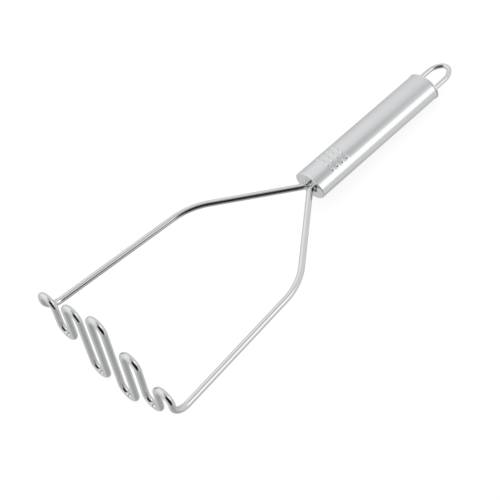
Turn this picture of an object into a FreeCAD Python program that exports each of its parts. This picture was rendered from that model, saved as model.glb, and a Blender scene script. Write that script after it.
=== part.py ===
# Wire potato masher: one bent wire makes both arms and the flat zigzag head, and is welded into
# the front cap of an oval tube handle with a hanging loop at its rear end.
#
# Millimetres. Each piece is drawn in the tool's own frame: +X runs from the head to the loop
# along the handle's axis, +Y from arm to arm, +Z towards the side of the taller turns, and the
# centre line of the head lies in the plane X = 0. One placement then lays the whole tool down on
# Z = 0, resting on the lower turns of its head and on the lip of its rear cap.

import FreeCAD, Part
import math
import os
import re
import Sketcher

from FreeCAD import Placement, Rotation, Vector

doc = FreeCAD.newDocument("WireMasher")

# ---------------------------------------------------------------- driving dimensions

DIMENSIONS = [
    # the handle
    ("handle_width", "21.6", "outside of the oval tube, arm side to arm side"),
    ("handle_thickness", "15", "outside of the oval tube, the other way"),
    ("handle_length", "102", "tube and both cap flanges, end to end"),
    ("tube_wall", "1"),
    ("head_to_handle", "155.5", "centre of the head wire to the front face of the handle"),
    # the raised dots under the thumb
    ("dot_columns", "4", "along the handle"),
    ("dot_rows", "4", "across the handle, centred on +Z"),
    ("dot_start", "14", "front face to the first column"),
    ("dot_pitch", "4", "column to column"),
    ("dot_row_pitch", "4", "row to row, across the handle"),
    ("dot_ball", "2.6", "radius of the dot's rounded top"),
    ("dot_height", "0.3", "above the tube"),
    # the caps
    ("front_flange", "2.2", "thickness"),
    ("front_rounding", "0.4", "outer edge of the front flange"),
    ("rear_flange", "1.3", "thickness"),
    ("rear_lip", "0.3", "how far the rear flange stands proud of the tube"),
    ("rear_rounding", "0.5", "outer edge of the rear flange"),
    ("skirt_length", "4", "the part of each cap inside the tube"),
    ("skirt_wall", "0.9"),
    ("skirt_gap", "0.05", "cap skirt to tube, radial"),
    ("hole_gap", "0.1", "wire to cap hole or weld, radial"),
    # the masher wire
    ("wire_diameter", "3.8"),
    ("leg_gap", "0.8", "between the two legs where they enter the handle"),
    ("leg_insert", "14", "front face to the end of each leg, inside the handle"),
    ("leg_bend_radius", "4", "where the legs turn out into the arms"),
    ("arm_bend_reach", "100.5", "head to the corner of each arm's long bend"),
    ("arm_bend_spread", "86.5", "corner to corner of the long bends"),
    ("arm_bend_radius", "41"),
    ("foot_radius", "10", "where an arm turns into the head"),
    ("run_pitch", "11.4", "run to run of the zigzag"),
    ("upper_tip_outer", "16.7", "centre line of the turn above the arms' plane"),
    ("upper_tip_middle", "25.7"),
    ("upper_tip_centre", "36"),
    ("lower_tip_outer", "6.9", "centre line of the turn below the arms' plane"),
    ("lower_tip_inner", "21.4"),
    # the weld round the legs
    ("leg_weld_height", "1"),
    ("leg_weld_width", "1.1", "past the wire, all round"),
    ("leg_weld_rounding", "0.8"),
    # the hanging loop
    ("loop_wire_diameter", "3"),
    ("loop_leg_gap", "1.25", "each leg of the loop to the inside of the rear cap's skirt"),
    ("loop_length", "21", "rear face to the centre line of the loop's end"),
    ("loop_slope", "40", "degrees that each side turns in towards the end"),
    ("loop_end_radius", "4"),
    ("loop_side_straight", "0.2", "between the long bend of each side and the end bend"),
    ("loop_insert", "9", "rear face to the end of each leg, inside the handle"),
    # the welds round the loop's legs
    ("loop_weld_height", "0.7"),
    ("loop_weld_width", "0.8", "past the wire, at the cap"),
    ("loop_weld_top_width", "0.25", "past the wire, at the weld's top"),
]

sheet = doc.addObject("Spreadsheet::Sheet", "Dimensions")
for row, (alias, value, *note) in enumerate(DIMENSIONS, start=1):
    sheet.set(f"A{row}", alias)
    sheet.set(f"B{row}", value)
    sheet.setAlias(f"B{row}", alias)
    if note:
        sheet.set(f"C{row}", note[0])
doc.recompute()


def size(expression):
    """A driving dimension, or an expression of several, as a number."""
    return float(sheet.evalExpression(expression))


def bound(expression):
    """The same expression as another object writes it, with the sheet's name before each alias."""
    for alias, *_ in DIMENSIONS:
        expression = re.sub(rf"\b{alias}\b", f"Dimensions.{alias}", expression)
    return expression


def bind(item, path, expression):
    item.setExpression(path, bound(expression))


# ---------------------------------------------------------------- drawing helpers

def origin_feature(body, role):
    """One of a body's own origin planes or axes."""
    for feature in body.Origin.OriginFeatures:
        if feature.Role == role:
            return feature
    raise ValueError(f"{body.Label} has no {role}")


def new_body(name):
    body = doc.addObject("PartDesign::Body", name)
    body.Label = name
    return body


def sketch_on(body, name, role, offset=None):
    """An empty sketch on an origin plane, moved along the plane's normal by an expression."""
    sketch = body.newObject("Sketcher::SketchObject", name)
    sketch.AttachmentSupport = [(origin_feature(body, role), "")]
    sketch.MapMode = "FlatFace"
    if offset:
        bind(sketch, "AttachmentOffset.Base.z", offset)
    return sketch


def place_point(sketch, element, vertex, across, up):
    """Holds a point of a sketch at two expressions, or on an axis where one of them is 0."""
    for kind, axis, expression in (("DistanceX", -2, across), ("DistanceY", -1, up)):
        if expression == "0":
            sketch.addConstraint(Sketcher.Constraint("PointOnObject", element, vertex, axis))
            continue
        constraint = Sketcher.Constraint(kind, -1, 1, element, vertex, size(expression))
        index = sketch.addConstraint(constraint)
        bind(sketch, f"Constraints[{index}]", expression)


def draw_circle(sketch, across, up, radius):
    centre = Vector(size(across), size(up), 0)
    circle = sketch.addGeometry(Part.Circle(centre, Vector(0, 0, 1), size(radius)), False)
    if across == "0" and up == "0":
        sketch.addConstraint(Sketcher.Constraint("Coincident", circle, 3, -1, 1))
    else:
        place_point(sketch, circle, 3, across, up)
    index = sketch.addConstraint(Sketcher.Constraint("Radius", circle, size(radius)))
    bind(sketch, f"Constraints[{index}]", radius)


def draw_oval(sketch, outward):
    """The handle's oval, centred on the sketch and larger all round by an expression."""
    half_width = f"handle_width / 2 + {outward}"
    half_thickness = f"handle_thickness / 2 + {outward}"
    side, top = Vector(size(half_width), 0, 0), Vector(0, size(half_thickness), 0)
    oval = sketch.addGeometry(Part.Ellipse(side, top, Vector(0, 0, 0)), False)
    sketch.exposeInternalGeometry(oval)
    sketch.addConstraint(Sketcher.Constraint("Coincident", oval, 3, -1, 1))

    def end_at(axis_line, point):
        return 1 if sketch.getPoint(axis_line, 1).isEqual(point, 1e-6) else 2

    long_axis, short_axis = oval + 1, oval + 2
    side_end, top_end = end_at(long_axis, side), end_at(short_axis, top)
    sketch.addConstraint(Sketcher.Constraint("PointOnObject", long_axis, side_end, -1))
    for kind, line, end, reach in (
        ("DistanceX", long_axis, side_end, half_width),
        ("DistanceY", short_axis, top_end, half_thickness),
    ):
        index = sketch.addConstraint(Sketcher.Constraint(kind, -1, 1, line, end, size(reach)))
        bind(sketch, f"Constraints[{index}]", reach)


def pad(body, name, sketch, length, reversed=False):
    feature = body.newObject("PartDesign::Pad", name)
    feature.Profile = sketch
    feature.Reversed = reversed
    bind(feature, "Length", length)
    doc.recompute()
    return feature


def drill(body, name, sketch):
    """Cuts a sketch on YZ right through the body, both ways along X."""
    feature = body.newObject("PartDesign::Pocket", name)
    feature.Profile = sketch
    feature.Type = 1
    feature.Midplane = True
    before = feature.BaseFeature.Shape.Volume
    doc.recompute()
    if feature.Shape.Volume >= before:
        raise ValueError(f"{name} cuts nothing")
    return feature


def round_rim(body, name, base, reach, rounding):
    """Rounds every edge of a base feature that lies in the plane X = reach."""
    rim = [
        f"Edge{number}" for number, edge in enumerate(base.Shape.Edges, start=1)
        if max(abs(point.x - size(reach)) for point in edge.discretize(3)) < 1e-6
    ]
    feature = body.newObject("PartDesign::Fillet", name)
    feature.Base = (base, rim)
    bind(feature, "Radius", rounding)
    doc.recompute()
    return feature


def bent_path(name, corners, radii):
    """A wire's centre line: straight runs between corner points, joined by tangent arcs.

    The first and last points are the wire's ends, and every other point has its bend radius.
    """
    edges = []
    start = corners[0]
    for before, corner, after, radius in zip(corners, corners[1:], corners[2:], radii):
        into = (corner - before).normalize()
        out = (after - corner).normalize()
        turn = into.getAngle(out)
        setback = radius * math.tan(turn / 2)
        arc_start = corner - into * setback
        arc_end = corner + out * setback
        towards_centre = (out - into).normalize()
        arc_middle = corner + towards_centre * radius * (1 / math.cos(turn / 2) - 1)
        if arc_start.distanceToPoint(start) > 1e-4:
            edges.append(Part.LineSegment(start, arc_start).toShape())
            start = arc_start
        edges.append(Part.Arc(start, arc_middle, arc_end).toShape())
        start = arc_end
    edges.append(Part.LineSegment(start, corners[-1]).toShape())
    path = doc.addObject("Part::Feature", name)
    path.Shape = Part.Wire(edges)
    return path


def sweep_wire(name, path, diameter):
    """A round wire along a path, checked against its section times its length."""
    first = path.Shape.Edges[0]
    section = doc.addObject("Part::Circle", f"{name}_section")
    bind(section, "Radius", f"{diameter} / 2")
    start = first.valueAt(first.FirstParameter)
    along = first.tangentAt(first.FirstParameter)
    section.Placement = Placement(start, Rotation(Vector(0, 0, 1), along))
    doc.recompute()
    wire = doc.addObject("Part::Sweep", name)
    wire.Label = name
    wire.Sections = [section]
    wire.Spine = (path, [])
    wire.Solid = True
    wire.Frenet = False
    doc.recompute()
    expected = math.pi * (size(diameter) / 2) ** 2 * path.Shape.Length
    if abs(wire.Shape.Volume / expected - 1) > 0.001:
        raise ValueError(f"{name} has {wire.Shape.Volume:.1f} mm3, not {expected:.1f}")
    return wire


# ---------------------------------------------------------------- places along the tool's axis

FRONT = "head_to_handle"
REAR = f"({FRONT} + handle_length)"
TUBE_START = f"({FRONT} + front_flange)"
TUBE_END = f"({REAR} - rear_flange)"
BORE = "(-tube_wall)"
SKIRT = f"({BORE} - skirt_gap)"
SKIRT_BORE = f"({SKIRT} - skirt_wall)"
LEG_HOLE_RADIUS = "(wire_diameter / 2 + hole_gap)"
LEG_OFFSET = "((wire_diameter + leg_gap) / 2)"
LOOP_HOLE_RADIUS = "(loop_wire_diameter / 2 + hole_gap)"
LOOP_OFFSET = f"(handle_width / 2 + {SKIRT_BORE} - loop_wire_diameter / 2 - loop_leg_gap)"


# ---------------------------------------------------------------- masher_wire

def make_masher_wire():
    """One wire: leg, arm, nine hairpin turns of the head, arm, leg."""
    front = size(FRONT)
    leg = size(LEG_OFFSET)
    bend_x = size("arm_bend_reach")
    bend_y = size("arm_bend_spread / 2")
    pitch = size("run_pitch")
    foot_y = 4.5 * pitch
    upper = [size(f"upper_tip_{place}") for place in ("outer", "middle", "centre", "middle", "outer")]
    lower = [size(f"lower_tip_{place}") for place in ("outer", "inner", "inner", "outer")]

    # Each leg stays straight through its weld, and its corner lies where the arm's line meets it.
    slope = math.atan2(bend_y - leg, front - size("leg_weld_height") - bend_x)
    setback = size("leg_bend_radius") * math.tan(slope / 2)
    root_x = front - size("leg_weld_height") - setback
    arm = [(front + size("leg_insert"), leg), (root_x, leg), (bend_x, bend_y), (0, foot_y)]
    arm_radii = [size("leg_bend_radius"), size("arm_bend_radius"), size("foot_radius")]

    corners = [Vector(x, -y, 0) for x, y in arm]
    radii = list(arm_radii)
    tips = [tip for pair in zip(upper, lower) for tip in (pair[0], -pair[1])] + [upper[-1]]
    for turn, tip in enumerate(tips):
        run_y = -foot_y + turn * pitch
        corners += [Vector(0, run_y, tip), Vector(0, run_y + pitch, tip)]
        radii += [pitch / 2, pitch / 2]
    corners += [Vector(x, y, 0) for x, y in reversed(arm)]
    radii += reversed(arm_radii)

    path = bent_path("masher_wire_path", corners, radii)
    return sweep_wire("masher_wire", path, "wire_diameter")


# ---------------------------------------------------------------- caps and tube

def make_cap(name, face, flange, rim, rounding, inward, hole_offset, hole_radius):
    """An oval cap: a flange across the tube's end, a skirt inside it, and two wire holes.

    face is the flange's outer face, rim is how far the flange stands out past the tube, and
    inward is + or -, the way along X to the tube's middle.
    """
    body = new_body(name)
    backwards = inward == "-"
    outline = sketch_on(body, f"{name}_outline", "YZ_Plane", face)
    draw_oval(outline, rim)
    plate = pad(body, f"{name}_plate", outline, flange, backwards)
    round_rim(body, f"{name}_rounded", plate, face, rounding)
    ring = sketch_on(body, f"{name}_ring", "YZ_Plane", f"{face} {inward} {flange}")
    draw_oval(ring, SKIRT)
    draw_oval(ring, SKIRT_BORE)
    pad(body, f"{name}_skirt", ring, "skirt_length", backwards)
    holes = sketch_on(body, f"{name}_holes", "YZ_Plane", face)
    draw_circle(holes, hole_offset, "0", hole_radius)
    draw_circle(holes, f"-{hole_offset}", "0", hole_radius)
    drill(body, f"{name}_drilled", holes)
    return body


def make_front_cap():
    return make_cap("front_cap", FRONT, "front_flange", "0", "front_rounding",
                    "+", LEG_OFFSET, LEG_HOLE_RADIUS)


def make_rear_cap():
    return make_cap("rear_cap", REAR, "rear_flange", "rear_lip", "rear_rounding",
                    "-", LOOP_OFFSET, LOOP_HOLE_RADIUS)


def make_handle_tube():
    """An oval tube with a grid of round raised dots on its upper side. Its bore is plain."""
    body = new_body("handle_tube")
    outside = sketch_on(body, "handle_tube_outside", "YZ_Plane", TUBE_START)
    draw_oval(outside, "0")
    pad(body, "handle_tube_drawn", outside, f"{TUBE_END} - {TUBE_START}")

    # A dot's ball has its centre below the oval, along the line square to it at the dot.
    wide, thick = "(handle_width / 2)", "(handle_thickness / 2)"
    dots = []
    for row in range(int(size("dot_rows"))):
        across = f"(({row} - (dot_rows - 1) / 2) * dot_row_pitch)"
        up = f"({thick} * sqrt(1 - ({across} / {wide}) ^ 2))"
        lean = f"({across} / {wide} ^ 2)"
        rise = f"({up} / {thick} ^ 2)"
        sunk = f"((dot_ball - dot_height) / sqrt({lean} ^ 2 + {rise} ^ 2))"
        ball = body.newObject("PartDesign::AdditiveSphere", f"handle_tube_dot_{row + 1}")
        bind(ball, "Radius", "dot_ball")
        bind(ball, "Placement.Base.x", f"{FRONT} + dot_start")
        bind(ball, "Placement.Base.y", f"{across} - {sunk} * {lean}")
        bind(ball, "Placement.Base.z", f"{up} - {sunk} * {rise}")
        doc.recompute()
        dots.append(ball)
    columns = body.newObject("PartDesign::LinearPattern", "handle_tube_columns")
    columns.Originals = dots
    columns.Direction = (origin_feature(body, "X_Axis"), [""])
    bind(columns, "Length", "dot_pitch * (dot_columns - 1)")
    bind(columns, "Occurrences", "dot_columns")
    body.Tip = columns
    doc.recompute()

    inside = sketch_on(body, "handle_tube_inside", "YZ_Plane", FRONT)
    draw_oval(inside, BORE)
    drill(body, "handle_tube_bored", inside)
    return body


# ---------------------------------------------------------------- wire_weld

def make_wire_weld():
    """The puddle of weld on the front cap: one rounded oblong round both legs."""
    body = new_body("wire_weld")
    outline = sketch_on(body, "wire_weld_outline", "YZ_Plane", FRONT)
    offset = size(LEG_OFFSET)
    radius = size("wire_diameter / 2 + leg_weld_width")
    up = Vector(0, 0, 1)
    right, left = [
        outline.addGeometry(Part.ArcOfCircle(
            Part.Circle(Vector(side * offset, 0, 0), up, radius), start, start + math.pi), False)
        for side, start in ((1, -math.pi / 2), (-1, math.pi / 2))
    ]
    top = outline.addGeometry(Part.LineSegment(Vector(offset, radius, 0), Vector(-offset, radius, 0)))
    base = outline.addGeometry(Part.LineSegment(Vector(-offset, -radius, 0), Vector(offset, -radius, 0)))
    for first, first_end, second, second_end in (
        (right, 2, top, 1), (top, 2, left, 1), (left, 2, base, 1), (base, 2, right, 1),
    ):
        outline.addConstraint(Sketcher.Constraint("Tangent", first, first_end, second, second_end))
    place_point(outline, right, 3, LEG_OFFSET, "0")
    place_point(outline, left, 3, f"-{LEG_OFFSET}", "0")
    index = outline.addConstraint(Sketcher.Constraint("Radius", right, radius))
    bind(outline, f"Constraints[{index}]", "wire_diameter / 2 + leg_weld_width")

    puddle = pad(body, "wire_weld_puddle", outline, "leg_weld_height", reversed=True)
    round_rim(body, "wire_weld_rounded", puddle, f"{FRONT} - leg_weld_height", "leg_weld_rounding")
    holes = sketch_on(body, "wire_weld_holes", "YZ_Plane", FRONT)
    draw_circle(holes, LEG_OFFSET, "0", LEG_HOLE_RADIUS)
    draw_circle(holes, f"-{LEG_OFFSET}", "0", LEG_HOLE_RADIUS)
    drill(body, "wire_weld_drilled", holes)
    return body


# ---------------------------------------------------------------- hanging_loop

def make_hanging_loop():
    """A pointed U of thinner wire whose legs pass through the rear cap."""
    rear = size(REAR)
    leg = size(LOOP_OFFSET)
    slope = math.radians(size("loop_slope"))
    end_radius = size("loop_end_radius")
    point_x = rear + size("loop_length") + end_radius * (1 / math.sin(slope) - 1)
    shoulder_x = point_x - leg / math.tan(slope)
    inner_x = rear - size("loop_insert")
    corners = [
        Vector(inner_x, -leg, 0),
        Vector(shoulder_x, -leg, 0),
        Vector(point_x, 0, 0),
        Vector(shoulder_x, leg, 0),
        Vector(inner_x, leg, 0),
    ]
    side_setback = leg / math.sin(slope) - end_radius / math.tan(slope) - size("loop_side_straight")
    side_radius = side_setback / math.tan(slope / 2)
    radii = [side_radius, end_radius, side_radius]
    path = bent_path("hanging_loop_path", corners, radii)
    return sweep_wire("hanging_loop", path, "loop_wire_diameter")


# ---------------------------------------------------------------- loop_welds

def make_loop_welds():
    """A small cone of weld round each leg of the loop, on the rear cap."""
    cone = doc.addObject("Part::Cone", "loop_weld_cone")
    bind(cone, "Radius1", "loop_wire_diameter / 2 + loop_weld_width")
    bind(cone, "Radius2", "loop_wire_diameter / 2 + loop_weld_top_width")
    bind(cone, "Height", "loop_weld_height")
    hole = doc.addObject("Part::Cylinder", "loop_weld_hole")
    bind(hole, "Radius", LOOP_HOLE_RADIUS)
    bind(hole, "Height", "loop_weld_height")
    for solid in (cone, hole):
        solid.Placement = Placement(Vector(0, 0, 0), Rotation(Vector(0, 0, 1), Vector(1, 0, 0)))
        bind(solid, "Placement.Base.x", REAR)
        bind(solid, "Placement.Base.y", LOOP_OFFSET)
    ring = doc.addObject("Part::Cut", "loop_weld_ring")
    ring.Base = cone
    ring.Tool = hole
    twin = doc.addObject("Part::Mirroring", "loop_weld_twin")
    twin.Source = ring
    twin.Normal = Vector(0, 1, 0)
    pair = doc.addObject("Part::Compound", "loop_welds")
    pair.Label = "loop_welds"
    pair.Links = [ring, twin]
    return pair


# ---------------------------------------------------------------- the tool, laid down

def resting_placement():
    """Turns the tool about Y until its lower turns and its rear lip touch Z = 0.

    Both touch with a rounded edge, so the turn is that of the line tangent to the two circles.
    The middle of the whole tool's length then goes to X = 0.
    """
    turn_radius = size("wire_diameter / 2")
    turn_centre = Vector(0, 0, -size("lower_tip_inner"))
    lip_radius = size("rear_rounding")
    lip_centre = Vector(size(f"{REAR} - rear_rounding"), 0,
                        -size("handle_thickness / 2 + rear_lip - rear_rounding"))
    between = lip_centre - turn_centre
    angle = math.atan2(between.z, between.x)
    angle += math.asin((turn_radius - lip_radius) / between.Length)
    lie = Rotation(Vector(0, 1, 0), math.degrees(angle))
    lift = turn_radius - lie.multVec(turn_centre).z
    return Placement(Vector(0, 0, lift), lie)


def main():
    pieces = [
        make_masher_wire(),
        make_front_cap(),
        make_wire_weld(),
        make_handle_tube(),
        make_rear_cap(),
        make_hanging_loop(),
        make_loop_welds(),
    ]
    doc.recompute()
    resting = resting_placement()
    ends = []
    for piece in pieces:
        piece.Placement = resting
        doc.recompute()
        box = piece.Shape.optimalBoundingBox(False, False)
        ends += [box.XMin, box.XMax]
    resting.Base.x -= (min(ends) + max(ends)) / 2
    for piece in pieces:
        piece.Placement = resting
    doc.recompute()

    for item in doc.Objects:
        if "Invalid" in item.State or "Error" in item.State:
            raise ValueError(f"{item.Label}: {item.State}")
    os.makedirs("parts", exist_ok=True)
    for piece in pieces:
        shape = piece.Shape
        if shape.isNull() or not shape.isValid():
            raise ValueError(f"{piece.Label} has no valid shape")
        shape.exportStep(os.path.join("parts", f"{piece.Label}.step"))
        box = shape.optimalBoundingBox(False, False)
        print(f"{piece.Label}: {len(shape.Solids)} solids, {shape.Volume:.1f} mm3,"
              f" X {box.XMin:.2f} {box.XMax:.2f}, Y {box.YMin:.2f} {box.YMax:.2f},"
              f" Z {box.ZMin:.2f} {box.ZMax:.2f}")


main()
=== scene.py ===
# Wire potato masher: a stainless tube handle with a hanging loop, and one bent wire whose flat
# zigzag end presses the potatoes. The tool lies on a pale surface, zigzag to the left.
# Every section below is one piece, in the order in which the tool is put together. The last one is
# the setting.

import math

import bmesh
import bpy
import numpy as np
from mathutils import Matrix, Vector


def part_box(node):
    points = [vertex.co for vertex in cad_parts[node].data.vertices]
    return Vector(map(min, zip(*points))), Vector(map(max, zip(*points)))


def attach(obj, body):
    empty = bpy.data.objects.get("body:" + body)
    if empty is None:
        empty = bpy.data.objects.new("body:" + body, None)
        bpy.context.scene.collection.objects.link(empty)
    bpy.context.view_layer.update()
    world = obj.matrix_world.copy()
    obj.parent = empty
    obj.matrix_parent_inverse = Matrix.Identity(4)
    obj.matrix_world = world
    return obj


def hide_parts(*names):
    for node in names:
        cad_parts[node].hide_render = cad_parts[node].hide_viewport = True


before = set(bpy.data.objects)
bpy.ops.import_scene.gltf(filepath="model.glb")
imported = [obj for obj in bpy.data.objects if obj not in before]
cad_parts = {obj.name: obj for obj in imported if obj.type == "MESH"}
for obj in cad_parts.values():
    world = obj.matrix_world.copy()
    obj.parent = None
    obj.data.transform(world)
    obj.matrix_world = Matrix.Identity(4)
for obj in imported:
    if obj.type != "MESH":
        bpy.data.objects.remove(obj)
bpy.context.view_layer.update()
MM = 0.001

# ------------------------------------------------------------------------------------------------
# The masher wire: 3.8 mm stainless rod, cold drawn, bent on pins into two arms and nine hairpin
# turns, then tumbled and polished bright. Its two ends run side by side into the handle.
# ------------------------------------------------------------------------------------------------

WIRE_DIAMETER = 3.8
HEAD_TO_HANDLE = 155.5
LEG_SPACING = 4.6
LEG_INSERT = 14.0
LEG_BEND_RADIUS = 4.0
WELD_HEIGHT = 1.0
ARM_BEND_REACH = 100.5
ARM_BEND_SPREAD = 86.5
ARM_BEND_RADIUS = 41.0
FOOT_RADIUS = 10.0
RUN_PITCH = 11.4
UPPER_TIPS = (16.7, 25.7, 36.0, 25.7, 16.7)
LOWER_TIPS = (6.9, 21.4, 21.4, 6.9)
BEND_STEPS = 18
WIRE_SIDES = 32

# The tool is drawn with +X along the handle and the head in the plane X = 0, in millimetres, and
# lies down on its lower turns and on the lip of its rear cap. These sizes of the handle and of the
# loop settle how far it tips, and where it lies.
HANDLE_LENGTH = 102.0
HALF_WIDTH = 10.8
HALF_THICKNESS = 7.5
REAR_LIP = 0.3
REAR_ROUNDING = 0.5
LOOP_WIRE_DIAMETER = 3.0
LOOP_LENGTH = 21.0
HANDLE_REAR = HEAD_TO_HANDLE + HANDLE_LENGTH

turn_centre = Vector((0, 0, -max(LOWER_TIPS)))
lip_centre = Vector((HANDLE_REAR - REAR_ROUNDING, 0, REAR_ROUNDING - HALF_THICKNESS - REAR_LIP))
between = lip_centre - turn_centre
rest_angle = math.atan2(between.z, between.x)
rest_angle += math.asin((WIRE_DIAMETER / 2 - REAR_ROUNDING) / between.length)
lie = Matrix.Rotation(rest_angle, 4, "Y")
lift = WIRE_DIAMETER / 2 - (lie @ turn_centre).z
loop_end = (HANDLE_REAR + LOOP_LENGTH) * math.cos(rest_angle) + LOOP_WIRE_DIAMETER / 2
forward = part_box("hanging_loop")[1].x / MM - loop_end
LAID_DOWN = Matrix.Diagonal((MM, MM, MM, 1)) @ Matrix.Translation((forward, 0, lift)) @ lie


def add_node(tree, kind, settings=None, **links):
    """One node with its settings.

    A link is a value or another node's output, and is named for the socket: Base_Color is the
    socket "Base Color", and _0 is the first one.
    """
    node = tree.nodes.new(kind)
    for name, value in (settings or {}).items():
        setattr(node, name, value)
    for name, value in links.items():
        key = int(name[1:]) if name[0] == "_" and name[1:].isdigit() else name.replace("_", " ")
        socket = node.inputs[key]
        if isinstance(value, bpy.types.NodeSocket):
            tree.links.new(value, socket)
        else:
            socket.default_value = value
    return node


def hex_colour(code):
    """An sRGB hex colour as linear RGBA."""
    parts = [int(code[i:i + 2], 16) / 255 for i in (1, 3, 5)]
    linear = [c / 12.92 if c <= 0.04045 else ((c + 0.055) / 1.055) ** 2.4 for c in parts]
    return (*linear, 1.0)


def new_group(name, inputs):
    """A Geometry Nodes tree with named inputs; returns it with its input and output nodes."""
    tree = bpy.data.node_groups.new(name, "GeometryNodeTree")
    tree.interface.new_socket("Geometry", in_out="INPUT", socket_type="NodeSocketGeometry")
    for label, kind, value in inputs:
        socket = tree.interface.new_socket(label, in_out="INPUT", socket_type=kind)
        if value is not None:
            socket.default_value = value
    tree.interface.new_socket("Geometry", in_out="OUTPUT", socket_type="NodeSocketGeometry")
    return tree, tree.nodes.new("NodeGroupInput"), tree.nodes.new("NodeGroupOutput")


def shown(name, mesh):
    """An object for a mesh, at the origin and in the scene."""
    piece = bpy.data.objects.new(name, mesh)
    bpy.context.scene.collection.objects.link(piece)
    return piece


def grow(name, mesh, tree, values):
    """Runs a tree on a mesh and keeps the result as a plain mesh object, laid down."""
    seed = shown(f"{name}_seed", mesh)
    modifier = seed.modifiers.new("shape", "NODES")
    modifier.node_group = tree
    for item in tree.interface.items_tree:
        if item.item_type == "SOCKET" and item.in_out == "INPUT" and item.name in values:
            modifier[item.identifier] = values[item.name]
    evaluated = seed.evaluated_get(bpy.context.evaluated_depsgraph_get())
    made = bpy.data.meshes.new_from_object(evaluated)
    bpy.data.objects.remove(seed)
    made.transform(LAID_DOWN)
    made.name = name
    return shown(name, made)


def wire_corners(points, radii):
    """The corner points of a wire as a mesh of edges that carries each corner's bend radius."""
    mesh = bpy.data.meshes.new("corners")
    mesh.from_pydata([tuple(p) for p in points], [(i, i + 1) for i in range(len(points) - 1)], [])
    bend = mesh.attributes.new("bend_radius", "FLOAT", "POINT")
    bend.data.foreach_set("value", [0.0, *radii, 0.0])
    return mesh


# The tree bends a round wire through its corner points. Along and around the wire it stores a
# coordinate in millimetres, so that the drawing marks follow every bend.
wire_tree, given, result = new_group("bent_wire", [
    ("Diameter", "NodeSocketFloat", WIRE_DIAMETER),
    ("Bend Steps", "NodeSocketInt", BEND_STEPS),
    ("Sides", "NodeSocketInt", WIRE_SIDES),
    ("Material", "NodeSocketMaterial", None),
])
line = add_node(wire_tree, "GeometryNodeMeshToCurve", Mesh=given.outputs["Geometry"])
bend = add_node(wire_tree, "GeometryNodeInputNamedAttribute", {"data_type": "FLOAT"},
                Name="bend_radius")
rounded = add_node(wire_tree, "GeometryNodeFilletCurve", {"mode": "POLY"},
                   Curve=line.outputs["Curve"], Radius=bend.outputs["Attribute"],
                   Count=given.outputs["Bend Steps"], Limit_Radius=True)
length = add_node(wire_tree, "GeometryNodeSplineParameter")
measured = add_node(wire_tree, "GeometryNodeStoreNamedAttribute",
                    {"data_type": "FLOAT", "domain": "POINT"}, Geometry=rounded.outputs["Curve"],
                    Name="along", Value=length.outputs["Length"])
radius = add_node(wire_tree, "ShaderNodeMath", {"operation": "MULTIPLY"},
                  _0=given.outputs["Diameter"], _1=0.5)
section = add_node(wire_tree, "GeometryNodeCurvePrimitiveCircle", Resolution=given.outputs["Sides"],
                   Radius=radius.outputs[0])
corner = add_node(wire_tree, "GeometryNodeInputPosition")
marked = add_node(wire_tree, "GeometryNodeStoreNamedAttribute",
                  {"data_type": "FLOAT_VECTOR", "domain": "POINT"},
                  Geometry=section.outputs["Curve"], Name="around",
                  Value=corner.outputs["Position"])
tube = add_node(wire_tree, "GeometryNodeCurveToMesh", Curve=measured.outputs["Geometry"],
                Profile_Curve=marked.outputs["Geometry"], Fill_Caps=True)
smooth = add_node(wire_tree, "GeometryNodeSetShadeSmooth", Geometry=tube.outputs["Mesh"])
real = add_node(wire_tree, "GeometryNodeRealizeInstances", Geometry=smooth.outputs["Geometry"])
finished = add_node(wire_tree, "GeometryNodeSetMaterial", Geometry=real.outputs["Geometry"],
                    Material=given.outputs["Material"])
wire_tree.links.new(finished.outputs["Geometry"], result.inputs["Geometry"])


def new_material(name):
    """An empty material; returns it with its node tree."""
    material = bpy.data.materials.new(name)
    material.use_nodes = True
    material.node_tree.nodes.clear()
    return material, material.node_tree


def two_tints(tree, share, colour, darker):
    """The colour and the same colour darkened, mixed by share; returns the output socket."""
    tint = add_node(tree, "ShaderNodeMix", {"data_type": "RGBA"}, _0=share)
    tint.inputs[6].default_value = hex_colour(colour)
    tint.inputs[7].default_value = [c * darker for c in hex_colour(colour)[:3]] + [1.0]
    return tint.outputs[2]


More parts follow.
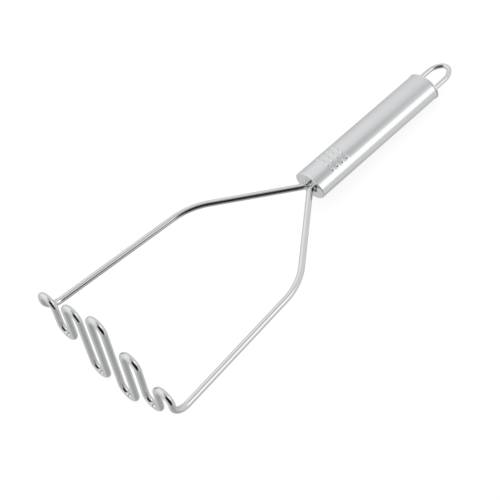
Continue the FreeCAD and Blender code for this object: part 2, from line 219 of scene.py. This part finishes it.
def bright_wire(name, colour, roughness):
    """Stainless rod, drawn and polished: a near mirror with faint marks along its length."""
    material, tree = new_material(name)
    marks_per_mm, drawn_by, cloud_per_mm = 6.0, 0.08, 0.7
    along = add_node(tree, "ShaderNodeAttribute", {"attribute_name": "along"})
    around = add_node(tree, "ShaderNodeAttribute", {"attribute_name": "around"})
    # One millimetre across the wire holds about six marks, and each runs on for about 2 mm. The
    # real ones are finer, and would not show.
    drawn_out = add_node(tree, "ShaderNodeMath", {"operation": "MULTIPLY"},
                         _0=along.outputs["Fac"], _1=drawn_by)
    lengthwise = add_node(tree, "ShaderNodeCombineXYZ", Z=drawn_out.outputs[0])
    place = add_node(tree, "ShaderNodeVectorMath", {"operation": "ADD"},
                     _0=around.outputs["Vector"], _1=lengthwise.outputs[0])
    marks = add_node(tree, "ShaderNodeTexNoise", {"noise_dimensions": "3D"},
                     Vector=place.outputs[0], Scale=marks_per_mm, Detail=3.0, Roughness=0.6)
    cloud = add_node(tree, "ShaderNodeTexNoise", {"noise_dimensions": "3D"},
                     Vector=place.outputs[0], Scale=cloud_per_mm, Detail=1.0)
    gloss = add_node(tree, "ShaderNodeMapRange", Value=marks.outputs["Fac"],
                     From_Min=0.3, From_Max=0.7, To_Min=roughness * 0.8, To_Max=roughness * 1.25)
    bump = add_node(tree, "ShaderNodeBump", Strength=0.12, Distance=0.02 * MM,
                    Height=marks.outputs["Fac"])
    shader = add_node(tree, "ShaderNodeBsdfPrincipled", Metallic=1.0,
                      Base_Color=two_tints(tree, cloud.outputs["Fac"], colour, 0.93),
                      Roughness=gloss.outputs[0], Normal=bump.outputs[0])
    add_node(tree, "ShaderNodeOutputMaterial", Surface=shader.outputs[0])
    return material


polished_stainless = bright_wire("polished_stainless_wire", "#D9DADB", 0.13)

# A turn is a half circle made of two bends. Their radius stays a hair under half the pitch, so
# that they never meet.
TURN_RADIUS = RUN_PITCH * 0.49999

leg_y = LEG_SPACING / 2
bend_y = ARM_BEND_SPREAD / 2
slope = math.atan2(bend_y - leg_y, HEAD_TO_HANDLE - WELD_HEIGHT - ARM_BEND_REACH)
root_x = HEAD_TO_HANDLE - WELD_HEIGHT - LEG_BEND_RADIUS * math.tan(slope / 2)
foot_y = RUN_PITCH * 4.5
half_arm = [(HEAD_TO_HANDLE + LEG_INSERT, leg_y), (root_x, leg_y), (ARM_BEND_REACH, bend_y),
            (0, foot_y)]
half_radii = [LEG_BEND_RADIUS, ARM_BEND_RADIUS, FOOT_RADIUS]
corners = [Vector((x, -y, 0)) for x, y in half_arm]
radii = list(half_radii)
for turn in range(len(UPPER_TIPS) + len(LOWER_TIPS)):
    tip = -LOWER_TIPS[turn // 2] if turn % 2 else UPPER_TIPS[turn // 2]
    run_y = turn * RUN_PITCH - foot_y
    corners += [Vector((0, run_y, tip)), Vector((0, run_y + RUN_PITCH, tip))]
    radii += [TURN_RADIUS] * 2
corners += [Vector((x, y, 0)) for x, y in reversed(half_arm)]
radii += reversed(half_radii)

masher_wire = grow("bent_masher_wire", wire_corners(corners, radii), wire_tree, {
    "Diameter": WIRE_DIAMETER, "Bend Steps": BEND_STEPS, "Sides": WIRE_SIDES,
    "Material": polished_stainless,
})
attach(masher_wire, "root")
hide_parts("masher_wire")

# ------------------------------------------------------------------------------------------------
# The front cap: a pressed stainless disc with a rounded edge that closes the tube, ground flush
# with it. Both legs of the wire pass through it.
# ------------------------------------------------------------------------------------------------

FRONT_FLANGE = 2.2
FRONT_ROUNDING = 0.4
FRONT_ROUNDING_STEPS = 12
CAP_SEGMENTS = 192
SHARP_EDGE = math.radians(35)

# Rings on a cap's flat face, by how far they stand in from the tube's outline.
FACE_RING_OUTER = -2.0
FACE_RING_INNER = -5.0


def arc_points(centre, radius, start, stop, steps):
    """Points (x, outward) of a rounded edge; angles in degrees from +x outwards."""
    angles = [math.radians(start + (stop - start) * i / steps) for i in range(steps + 1)]
    return [(centre[0] + radius * math.cos(a), centre[1] + radius * math.sin(a)) for a in angles]


def oval_rings(name, profile, segments, material, closed=False):
    """A skin of oval rings along the X axis, as a mesh with outward faces.

    profile holds (x, outward) pairs, where outward is how far the ring stands out past the
    tube's oval, and None is a point on the axis.
    """
    mesh = bmesh.new()
    rings = []
    for x, outward in profile:
        if outward is None:
            rings.append([mesh.verts.new((x, 0, 0))])
            continue
        wide, thick = HALF_WIDTH + outward, HALF_THICKNESS + outward
        turns = [2 * math.pi * i / segments for i in range(segments)]
        rings.append([mesh.verts.new((x, wide * math.sin(t), thick * math.cos(t))) for t in turns])
    pairs = list(zip(rings, rings[1:]))
    if closed:
        pairs.append((rings[-1], rings[0]))
    for first, second in pairs:
        for i in range(segments):
            j = (i + 1) % segments
            corners = [ring[k % len(ring)] for ring, k in
                       ((first, i), (first, j), (second, j), (second, i))]
            face = list(dict.fromkeys(corners))
            if len(face) > 2:
                mesh.faces.new(face)
    bmesh.ops.recalc_face_normals(mesh, faces=mesh.faces)
    made = bpy.data.meshes.new(name)
    for face in mesh.faces:
        face.smooth = True
    mesh.to_mesh(made)
    mesh.free()
    made.materials.append(material)
    return made


def laid_down(name, mesh):
    """A finished skin as an object, laid down with the tool and with its edges kept sharp."""
    mesh.transform(LAID_DOWN)
    mesh.set_sharp_from_angle(angle=SHARP_EDGE)
    return shown(name, mesh)


def satin_steel(name, colour, roughness, across):
    """Stainless finished on a fine belt: soft highlights and faint rings round the axis.

    across is the spacing of the rings, in millimetres; the real ones are finer, and would not
    show.
    """
    material, tree = new_material(name)
    ring_length = 40 * MM
    patches_per_metre = 60.0
    here = add_node(tree, "ShaderNodeTexCoord")
    level = add_node(tree, "ShaderNodeMapping", {"vector_type": "POINT"},
                     Vector=here.outputs["Object"], Rotation=(0.0, -rest_angle, 0.0))
    rings_at = add_node(tree, "ShaderNodeMapping", {"vector_type": "POINT"},
                        Vector=level.outputs[0],
                        Scale=(1 / (across * MM), 1 / ring_length, 1 / ring_length))
    rings = add_node(tree, "ShaderNodeTexNoise", Vector=rings_at.outputs[0],
                     Scale=1.0, Detail=4.0, Roughness=0.7)
    patches = add_node(tree, "ShaderNodeTexNoise", Vector=level.outputs[0],
                       Scale=patches_per_metre, Detail=2.0)
    gloss = add_node(tree, "ShaderNodeMapRange", Value=rings.outputs["Fac"],
                     From_Min=0.25, From_Max=0.75, To_Min=roughness - 0.03,
                     To_Max=roughness + 0.05)
    bump = add_node(tree, "ShaderNodeBump", Strength=0.10, Distance=0.03 * MM,
                    Height=rings.outputs["Fac"])
    shader = add_node(tree, "ShaderNodeBsdfPrincipled", Metallic=1.0,
                      Base_Color=two_tints(tree, patches.outputs["Fac"], colour, 0.95),
                      Roughness=gloss.outputs[0], Normal=bump.outputs[0])
    add_node(tree, "ShaderNodeOutputMaterial", Surface=shader.outputs[0])
    return material


satin_stainless = satin_steel("satin_stainless_tube", "#D9DADB", 0.15, 0.25)

cap_inner = HEAD_TO_HANDLE + FRONT_FLANGE
rounding_centre = (HEAD_TO_HANDLE + FRONT_ROUNDING, -FRONT_ROUNDING)
front_profile = [(HEAD_TO_HANDLE, None), (HEAD_TO_HANDLE, FACE_RING_INNER),
                 (HEAD_TO_HANDLE, FACE_RING_OUTER)]
front_profile += arc_points(rounding_centre, FRONT_ROUNDING, 180, 90, FRONT_ROUNDING_STEPS)
front_profile += [(cap_inner, 0.0), (cap_inner, FACE_RING_INNER), (cap_inner, None)]
front_cap = laid_down("pressed_front_cap", oval_rings("pressed_front_cap", front_profile,
                                                      CAP_SEGMENTS, satin_stainless))
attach(front_cap, "root")
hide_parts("front_cap")

# ------------------------------------------------------------------------------------------------
# The weld at the front cap: TIG weld run round each of the two legs in lumps, with a narrow notch
# left between the legs. It is left as it cooled, and is rougher than the wire.
# ------------------------------------------------------------------------------------------------

LUMPS_ROUND_LEG = 8
LUMP_RADIUS = (0.85, 1.2)
NOTCH_LUMP_RADIUS = 0.55
NOTCH_SHARE = 0.8
BEAD_RISE = 0.9
BEAD_STANDOFF = 0.2
BEAD_WANDER = (-0.1, 0.15)
BEAD_VOXEL = 0.12


def as_welded_steel(name, colour, roughness):
    """Weld metal as it cooled: bright, with shallow ripples a little over 0.5 mm apart."""
    material, tree = new_material(name)
    ripples_per_metre = 1800.0
    here = add_node(tree, "ShaderNodeTexCoord")
    ripples = add_node(tree, "ShaderNodeTexNoise", Vector=here.outputs["Object"],
                       Scale=ripples_per_metre, Detail=2.0)
    gloss = add_node(tree, "ShaderNodeMapRange", Value=ripples.outputs["Fac"],
                     From_Min=0.3, From_Max=0.7, To_Min=roughness * 0.7, To_Max=roughness * 1.4)
    bump = add_node(tree, "ShaderNodeBump", Strength=0.3, Distance=0.08 * MM,
                    Height=ripples.outputs["Fac"])
    shader = add_node(tree, "ShaderNodeBsdfPrincipled", Base_Color=hex_colour(colour),
                      Metallic=1.0, Roughness=gloss.outputs[0], Normal=bump.outputs[0])
    add_node(tree, "ShaderNodeOutputMaterial", Surface=shader.outputs[0])
    return material


def weld_lumps(name, lumps, material, voxel):
    """Melts overlapping balls (centre, radii) into one lumpy closed skin."""
    mesh = bmesh.new()
    for centre, radii in lumps:
        place = Matrix.Translation(centre) @ Matrix.Diagonal((*radii, 1))
        bmesh.ops.create_icosphere(mesh, subdivisions=3, radius=1.0, matrix=place)
    raw = bpy.data.meshes.new(f"{name}_raw")
    mesh.to_mesh(raw)
    mesh.free()
    seed = shown(f"{name}_seed", raw)
    remesh = seed.modifiers.new("melt", "REMESH")
    remesh.mode = "VOXEL"
    remesh.voxel_size = voxel
    soften = seed.modifiers.new("flow", "SMOOTH")
    soften.factor = 0.5
    soften.iterations = 6
    evaluated = seed.evaluated_get(bpy.context.evaluated_depsgraph_get())
    made = bpy.data.meshes.new_from_object(evaluated)
    bpy.data.objects.remove(seed)
    made.polygons.foreach_set("use_smooth", [True] * len(made.polygons))
    made.materials.clear()
    made.materials.append(material)
    made.transform(LAID_DOWN)
    made.name = name
    return shown(name, made)


weld_metal = as_welded_steel("tig_weld_metal", "#CFCFCE", 0.2)
chance = np.random.default_rng(11)
lumps = []
for side in (-1, 1):
    for step in range(LUMPS_ROUND_LEG):
        around = 2 * math.pi * (step + 0.5) / LUMPS_ROUND_LEG
        spread = WIRE_DIAMETER / 2 + BEAD_STANDOFF + chance.uniform(*BEAD_WANDER)
        inward = side * math.sin(around) < -NOTCH_SHARE
        centre = Vector((HEAD_TO_HANDLE, side * leg_y + spread * math.sin(around),
                         spread * math.cos(around)))
        size = NOTCH_LUMP_RADIUS if inward else chance.uniform(*LUMP_RADIUS)
        lumps.append((centre, (size * BEAD_RISE, size, size)))
leg_weld = weld_lumps("leg_weld_bead", lumps, weld_metal, BEAD_VOXEL)
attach(leg_weld, "root")
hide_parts("wire_weld")

# ------------------------------------------------------------------------------------------------
# The handle tube: stainless tube with a 1 mm wall, pressed to an oval of 21.6 x 15 mm and
# belt-finished to a satin. A grid of round dots is raised on its upper side, under the thumb.
# ------------------------------------------------------------------------------------------------

TUBE_WALL = 1.0
REAR_FLANGE = 1.3
DOT_COLUMNS = 4
DOT_ROWS = 4
DOT_START = 14.0
DOT_PITCH = 4.0
DOT_BALL = 2.6
DOT_HEIGHT = 0.3
DOT_EDGE_SOFTNESS = 0.1
OUTER_SKIN = 0.98
TUBE_SEGMENTS = 288
FINE_STEP = 0.2
FRONT_RINGS = 4
REAR_RINGS = 12

dot_tree, given, result = new_group("raised_dots", [
    ("Columns", "NodeSocketInt", DOT_COLUMNS),
    ("Rows", "NodeSocketInt", DOT_ROWS),
    ("First Column", "NodeSocketFloat", 0.0),
    ("Pitch", "NodeSocketFloat", DOT_PITCH),
    ("Half Width", "NodeSocketFloat", HALF_WIDTH),
    ("Half Thickness", "NodeSocketFloat", HALF_THICKNESS),
    ("Ball Radius", "NodeSocketFloat", DOT_BALL),
    ("Height", "NodeSocketFloat", DOT_HEIGHT),
    ("Edge Softness", "NodeSocketFloat", DOT_EDGE_SOFTNESS),
    ("Material", "NodeSocketMaterial", None),
])


def sum_up(operation, first, second=0.0, third=0.0):
    """The output of one Math node in the dot tree."""
    return add_node(dot_tree, "ShaderNodeMath", {"operation": operation},
                    _0=first, _1=second, _2=third).outputs[0]


def nearest(place, count):
    """The whole number nearest to a place, from 0 up to count - 1."""
    last = sum_up("SUBTRACT", count, 1.0)
    return sum_up("MINIMUM", sum_up("MAXIMUM", sum_up("ROUND", place), 0.0), last)


def square(value):
    """A value times itself, in the dot tree."""
    return sum_up("MULTIPLY", value, value)


# The nearest dot's middle is a point on the oval, and the surface there rises as the top of a
# ball, with a soft edge where it meets the tube. Only the outer skin of the tube is raised.
where = add_node(dot_tree, "GeometryNodeInputPosition")
axes = add_node(dot_tree, "ShaderNodeSeparateXYZ", Vector=where.outputs["Position"])
pitch = given.outputs["Pitch"]
from_first = sum_up("SUBTRACT", axes.outputs["X"], given.outputs["First Column"])
column_place = sum_up("DIVIDE", from_first, pitch)
dot_x = sum_up("MULTIPLY_ADD", nearest(column_place, given.outputs["Columns"]), pitch,
               given.outputs["First Column"])
outer_row = sum_up("MULTIPLY", sum_up("SUBTRACT", given.outputs["Rows"], 1.0), 0.5)
row_place = sum_up("ADD", sum_up("DIVIDE", axes.outputs["Y"], pitch), outer_row)
row = sum_up("SUBTRACT", nearest(row_place, given.outputs["Rows"]), outer_row)
dot_y = sum_up("MULTIPLY", row, pitch)
lower_by = square(sum_up("DIVIDE", dot_y, given.outputs["Half Width"]))
dot_z = sum_up("MULTIPLY", given.outputs["Half Thickness"],
               sum_up("SQRT", sum_up("SUBTRACT", 1.0, lower_by)))
middle = add_node(dot_tree, "ShaderNodeCombineXYZ", X=dot_x, Y=dot_y, Z=dot_z)
distance = add_node(dot_tree, "ShaderNodeVectorMath", {"operation": "DISTANCE"},
                    _0=where.outputs["Position"], _1=middle.outputs[0]).outputs["Value"]
ball = given.outputs["Ball Radius"]
under_root = sum_up("MAXIMUM", sum_up("SUBTRACT", square(ball), square(distance)), 0.0)
ball_top = sum_up("SUBTRACT", sum_up("SQRT", under_root),
                  sum_up("SUBTRACT", ball, given.outputs["Height"]))
raised = sum_up("SMOOTH_MAX", ball_top, 0.0, given.outputs["Edge Softness"])
across = square(sum_up("DIVIDE", axes.outputs["Y"], given.outputs["Half Width"]))
upward = square(sum_up("DIVIDE", axes.outputs["Z"], given.outputs["Half Thickness"]))
outside = sum_up("GREATER_THAN", sum_up("ADD", across, upward), OUTER_SKIN)
normal = add_node(dot_tree, "GeometryNodeInputNormal")
shift = add_node(dot_tree, "ShaderNodeVectorMath", {"operation": "SCALE"},
                 Vector=normal.outputs["Normal"], Scale=sum_up("MULTIPLY", raised, outside))
pressed = add_node(dot_tree, "GeometryNodeSetPosition", Geometry=given.outputs["Geometry"],
                   Offset=shift.outputs["Vector"])
real = add_node(dot_tree, "GeometryNodeRealizeInstances", Geometry=pressed.outputs["Geometry"])
finished = add_node(dot_tree, "GeometryNodeSetMaterial", Geometry=real.outputs["Geometry"],
                    Material=given.outputs["Material"])
dot_tree.links.new(finished.outputs["Geometry"], result.inputs["Geometry"])

tube_start = HEAD_TO_HANDLE + FRONT_FLANGE
tube_end = HANDLE_REAR - REAR_FLANGE
first_column = HEAD_TO_HANDLE + DOT_START
fine_start = first_column - DOT_BALL
fine_end = first_column + DOT_PITCH * (DOT_COLUMNS - 1) + DOT_BALL
fine_steps = round((fine_end - fine_start) / FINE_STEP)
ring_places = [tube_start + (fine_start - tube_start) * i / FRONT_RINGS
               for i in range(FRONT_RINGS)]
ring_places += [fine_start + (fine_end - fine_start) * i / fine_steps for i in range(fine_steps)]
ring_places += [fine_end + (tube_end - fine_end) * i / REAR_RINGS for i in range(REAR_RINGS + 1)]
tube_profile = [(x, 0.0) for x in ring_places]
tube_profile += [(tube_end, -TUBE_WALL), (tube_start, -TUBE_WALL)]
plain_tube = oval_rings("plain_tube", tube_profile, TUBE_SEGMENTS, satin_stainless, closed=True)
plain_tube.set_sharp_from_angle(angle=SHARP_EDGE)
handle_tube = grow("dotted_handle_tube", plain_tube, dot_tree, {
    "Columns": DOT_COLUMNS, "Rows": DOT_ROWS, "First Column": first_column, "Pitch": DOT_PITCH,
    "Half Width": HALF_WIDTH, "Half Thickness": HALF_THICKNESS, "Ball Radius": DOT_BALL,
    "Height": DOT_HEIGHT, "Edge Softness": DOT_EDGE_SOFTNESS, "Material": satin_stainless,
})
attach(handle_tube, "root")
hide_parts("handle_tube")

# ------------------------------------------------------------------------------------------------
# The rear cap: a thinner disc that closes the tube's other end and stands a little proud of it
# as a rounded lip.
# ------------------------------------------------------------------------------------------------

LIP_FRONT_ROUNDING = 0.3
LIP_FRONT_STEPS = 5
LIP_REAR_STEPS = 8
SEAT_RING = -0.2

lip_front = (HANDLE_REAR - REAR_FLANGE + LIP_FRONT_ROUNDING, REAR_LIP - LIP_FRONT_ROUNDING)
lip_rear = (HANDLE_REAR - REAR_ROUNDING, REAR_LIP - REAR_ROUNDING)
rear_profile = [(tube_end, None), (tube_end, FACE_RING_INNER), (tube_end, SEAT_RING)]
rear_profile += arc_points(lip_front, LIP_FRONT_ROUNDING, 180, 90, LIP_FRONT_STEPS)
rear_profile += arc_points(lip_rear, REAR_ROUNDING, 90, 0, LIP_REAR_STEPS)
rear_profile += [(HANDLE_REAR, FACE_RING_OUTER), (HANDLE_REAR, FACE_RING_INNER),
                 (HANDLE_REAR, None)]
rear_cap = laid_down("pressed_rear_cap", oval_rings("pressed_rear_cap", rear_profile,
                                                    CAP_SEGMENTS, satin_stainless))
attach(rear_cap, "root")
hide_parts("rear_cap")

# ------------------------------------------------------------------------------------------------
# The hanging loop: 3 mm stainless wire bent to a slightly pointed U, polished like the masher
# wire. Its legs pass through the rear cap.
# ------------------------------------------------------------------------------------------------

LOOP_LEG_Y = 6.1
LOOP_SLOPE = math.radians(40)
LOOP_END_RADIUS = 4.0
LOOP_SIDE_STRAIGHT = 0.2
LOOP_INSERT = 9.0
LOOP_BEND_STEPS = 16

point_x = HANDLE_REAR + LOOP_LENGTH + LOOP_END_RADIUS * (1 / math.sin(LOOP_SLOPE) - 1)
shoulder_x = point_x - LOOP_LEG_Y / math.tan(LOOP_SLOPE)
side_setback = (LOOP_LEG_Y / math.sin(LOOP_SLOPE) - LOOP_END_RADIUS / math.tan(LOOP_SLOPE)
                - LOOP_SIDE_STRAIGHT)
side_radius = side_setback / math.tan(LOOP_SLOPE / 2)
loop_corners = [
    Vector((HANDLE_REAR - LOOP_INSERT, -LOOP_LEG_Y, 0)),
    Vector((shoulder_x, -LOOP_LEG_Y, 0)),
    Vector((point_x, 0, 0)),
    Vector((shoulder_x, LOOP_LEG_Y, 0)),
    Vector((HANDLE_REAR - LOOP_INSERT, LOOP_LEG_Y, 0)),
]
loop_path = wire_corners(loop_corners, [side_radius, LOOP_END_RADIUS, side_radius])
hanging_loop = grow("bent_hanging_loop", loop_path, wire_tree, {
    "Diameter": LOOP_WIRE_DIAMETER, "Bend Steps": LOOP_BEND_STEPS, "Sides": WIRE_SIDES,
    "Material": polished_stainless,
})
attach(hanging_loop, "root")
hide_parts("hanging_loop")

# ------------------------------------------------------------------------------------------------
# The loop's welds: a small bead of TIG weld round each leg, on the outer face of the rear cap.
# They are the same metal as the weld at the front, laid in smaller and more even lumps.
# ------------------------------------------------------------------------------------------------

LUMPS_ROUND_LOOP_LEG = 9
LOOP_LUMP_RADIUS = (0.55, 0.72)
LOOP_BEAD_WANDER = (-0.05, 0.08)
LOOP_BEAD_VOXEL = 0.1

lumps = []
for side in (-1, 1):
    for step in range(LUMPS_ROUND_LOOP_LEG):
        around = 2 * math.pi * step / LUMPS_ROUND_LOOP_LEG
        spread = LOOP_WIRE_DIAMETER / 2 + BEAD_STANDOFF + chance.uniform(*LOOP_BEAD_WANDER)
        centre = Vector((HANDLE_REAR, side * LOOP_LEG_Y + spread * math.sin(around),
                         spread * math.cos(around)))
        size = chance.uniform(*LOOP_LUMP_RADIUS)
        lumps.append((centre, (size, size, size)))
loop_weld = weld_lumps("loop_weld_beads", lumps, weld_metal, LOOP_BEAD_VOXEL)
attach(loop_weld, "root")
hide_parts("loop_welds")

# ------------------------------------------------------------------------------------------------
# The setting: an acrylic board lit from below, so that the tool throws hardly any shadow, a light
# tent with brighter and darker stretches in its cloth, a lamp overhead, and the camera.
# ------------------------------------------------------------------------------------------------

BOARD_REACH = 4.0
BOARD_GLOW = 0.90

board_corners = [(x * BOARD_REACH, y * BOARD_REACH, 0)
                 for x, y in ((-1, -1), (1, -1), (1, 1), (-1, 1))]
floor_mesh = bpy.data.meshes.new("pale_floor")
floor_mesh.from_pydata(board_corners, [], [(0, 1, 2, 3)])
floor = shown("pale_floor", floor_mesh)

# Opal acrylic with lamps under it: an even glow that takes little light from above, no gloss.
lit_acrylic, board_tree = new_material("lit_acrylic_board")
board = add_node(board_tree, "ShaderNodeBsdfPrincipled", Base_Color=hex_colour("#505050"),
                 Roughness=0.9, Specular_IOR_Level=0.1,
                 Emission_Color=hex_colour("#FFFFFF"), Emission_Strength=BOARD_GLOW)
add_node(board_tree, "ShaderNodeOutputMaterial", Surface=board.outputs[0])
floor_mesh.materials.append(lit_acrylic)
# The metal mirrors the tent all round it, and not the board.
floor.visible_glossy = False

# The tent is one even pale cloth with dimmer and brighter stretches in it, and an unlit opening
# below the camera, which the metal shows as black. The patches are laid on in this order.
# Each stretch is a round patch of sky: azimuth and height of its centre, the radius inside which
# it is whole, the radius where it has faded out (degrees), and its brightness.
TENT_BRIGHTNESS = 0.88
TENT_PATCHES = (
    (55, -55, 20, 75, 0.70),
    (-115, -52, 15, 58, 0.50),
    (110, 45, 25, 60, 1.12),
    (-85, 74, 13, 24, 0.38),
    (-15, 70, 6, 24, 0.62),
    (-60, 33, 13, 25, 1.55),
    (-54, -20, 12, 26, 0.84),
    (-118, 20, 38, 48, 0.02),
)

world = bpy.data.worlds.new("light_tent")
bpy.context.scene.world = world
world.use_nodes = True
tent = world.node_tree
tent.nodes.clear()
gaze = add_node(tent, "ShaderNodeTexCoord")
cloth = TENT_BRIGHTNESS
for azimuth, height, whole, faded, brightness in TENT_PATCHES:
    level, turn = math.radians(height), math.radians(azimuth)
    towards = (math.cos(level) * math.cos(turn), math.cos(level) * math.sin(turn), math.sin(level))
    nearness = add_node(tent, "ShaderNodeVectorMath", {"operation": "DOT_PRODUCT"},
                        _0=gaze.outputs["Generated"], _1=towards)
    inside = add_node(tent, "ShaderNodeMapRange", {"interpolation_type": "SMOOTHSTEP"},
                      Value=nearness.outputs["Value"], From_Min=math.cos(math.radians(faded)),
                      From_Max=math.cos(math.radians(whole)))
    patch = add_node(tent, "ShaderNodeMix", {"data_type": "FLOAT"},
                     _0=inside.outputs[0], _2=cloth, _3=brightness)
    cloth = patch.outputs[0]
sky = add_node(tent, "ShaderNodeBackground", Color=hex_colour("#FFFFFF"), Strength=cloth)
add_node(tent, "ShaderNodeOutputWorld", Surface=sky.outputs[0])

# One large lamp overhead lights the board evenly, and the metal doesn't mirror it. Its side and
# its place are in metres, and its power in watts.
OVERHEAD_SIDE = 2.4
OVERHEAD_POWER = 40.0
OVERHEAD_PLACE = (-0.2, 0.3, 1.5)

overhead = bpy.data.lights.new("overhead_softbox", "AREA")
overhead.shape = "RECTANGLE"
overhead.size = overhead.size_y = OVERHEAD_SIDE
overhead.energy = OVERHEAD_POWER
lamp = bpy.data.objects.new("overhead_softbox", overhead)
lamp.location = OVERHEAD_PLACE
lamp.visible_glossy = False
bpy.context.scene.collection.objects.link(lamp)

# The camera's place and aim are given in the tool's own frame, and lie down with the tool. Its
# lens and sensor are in millimetres.
CAMERA_PLACE = Vector((-163.61, -347.56, 536.37))
CAMERA_AIM = Vector((0.38346, 0.49622, -0.77893))
CAMERA_UP = Vector((0.60924, 0.49795, 0.61715))
CAMERA_LENS = 90.0
CAMERA_SENSOR = 36.0

camera_data = bpy.data.cameras.new("camera")
camera_data.lens = CAMERA_LENS
camera_data.sensor_width = CAMERA_SENSOR
camera = bpy.data.objects.new("camera", camera_data)
backwards = lie @ -CAMERA_AIM
upwards = lie @ CAMERA_UP
sideways = upwards.cross(backwards)
turned = Matrix((sideways, upwards, backwards)).transposed().to_4x4()
camera.matrix_world = Matrix.Translation(LAID_DOWN @ CAMERA_PLACE) @ turned
bpy.context.scene.collection.objects.link(camera)
bpy.context.scene.camera = camera
bpy.context.scene.view_settings.view_transform = "Standard"
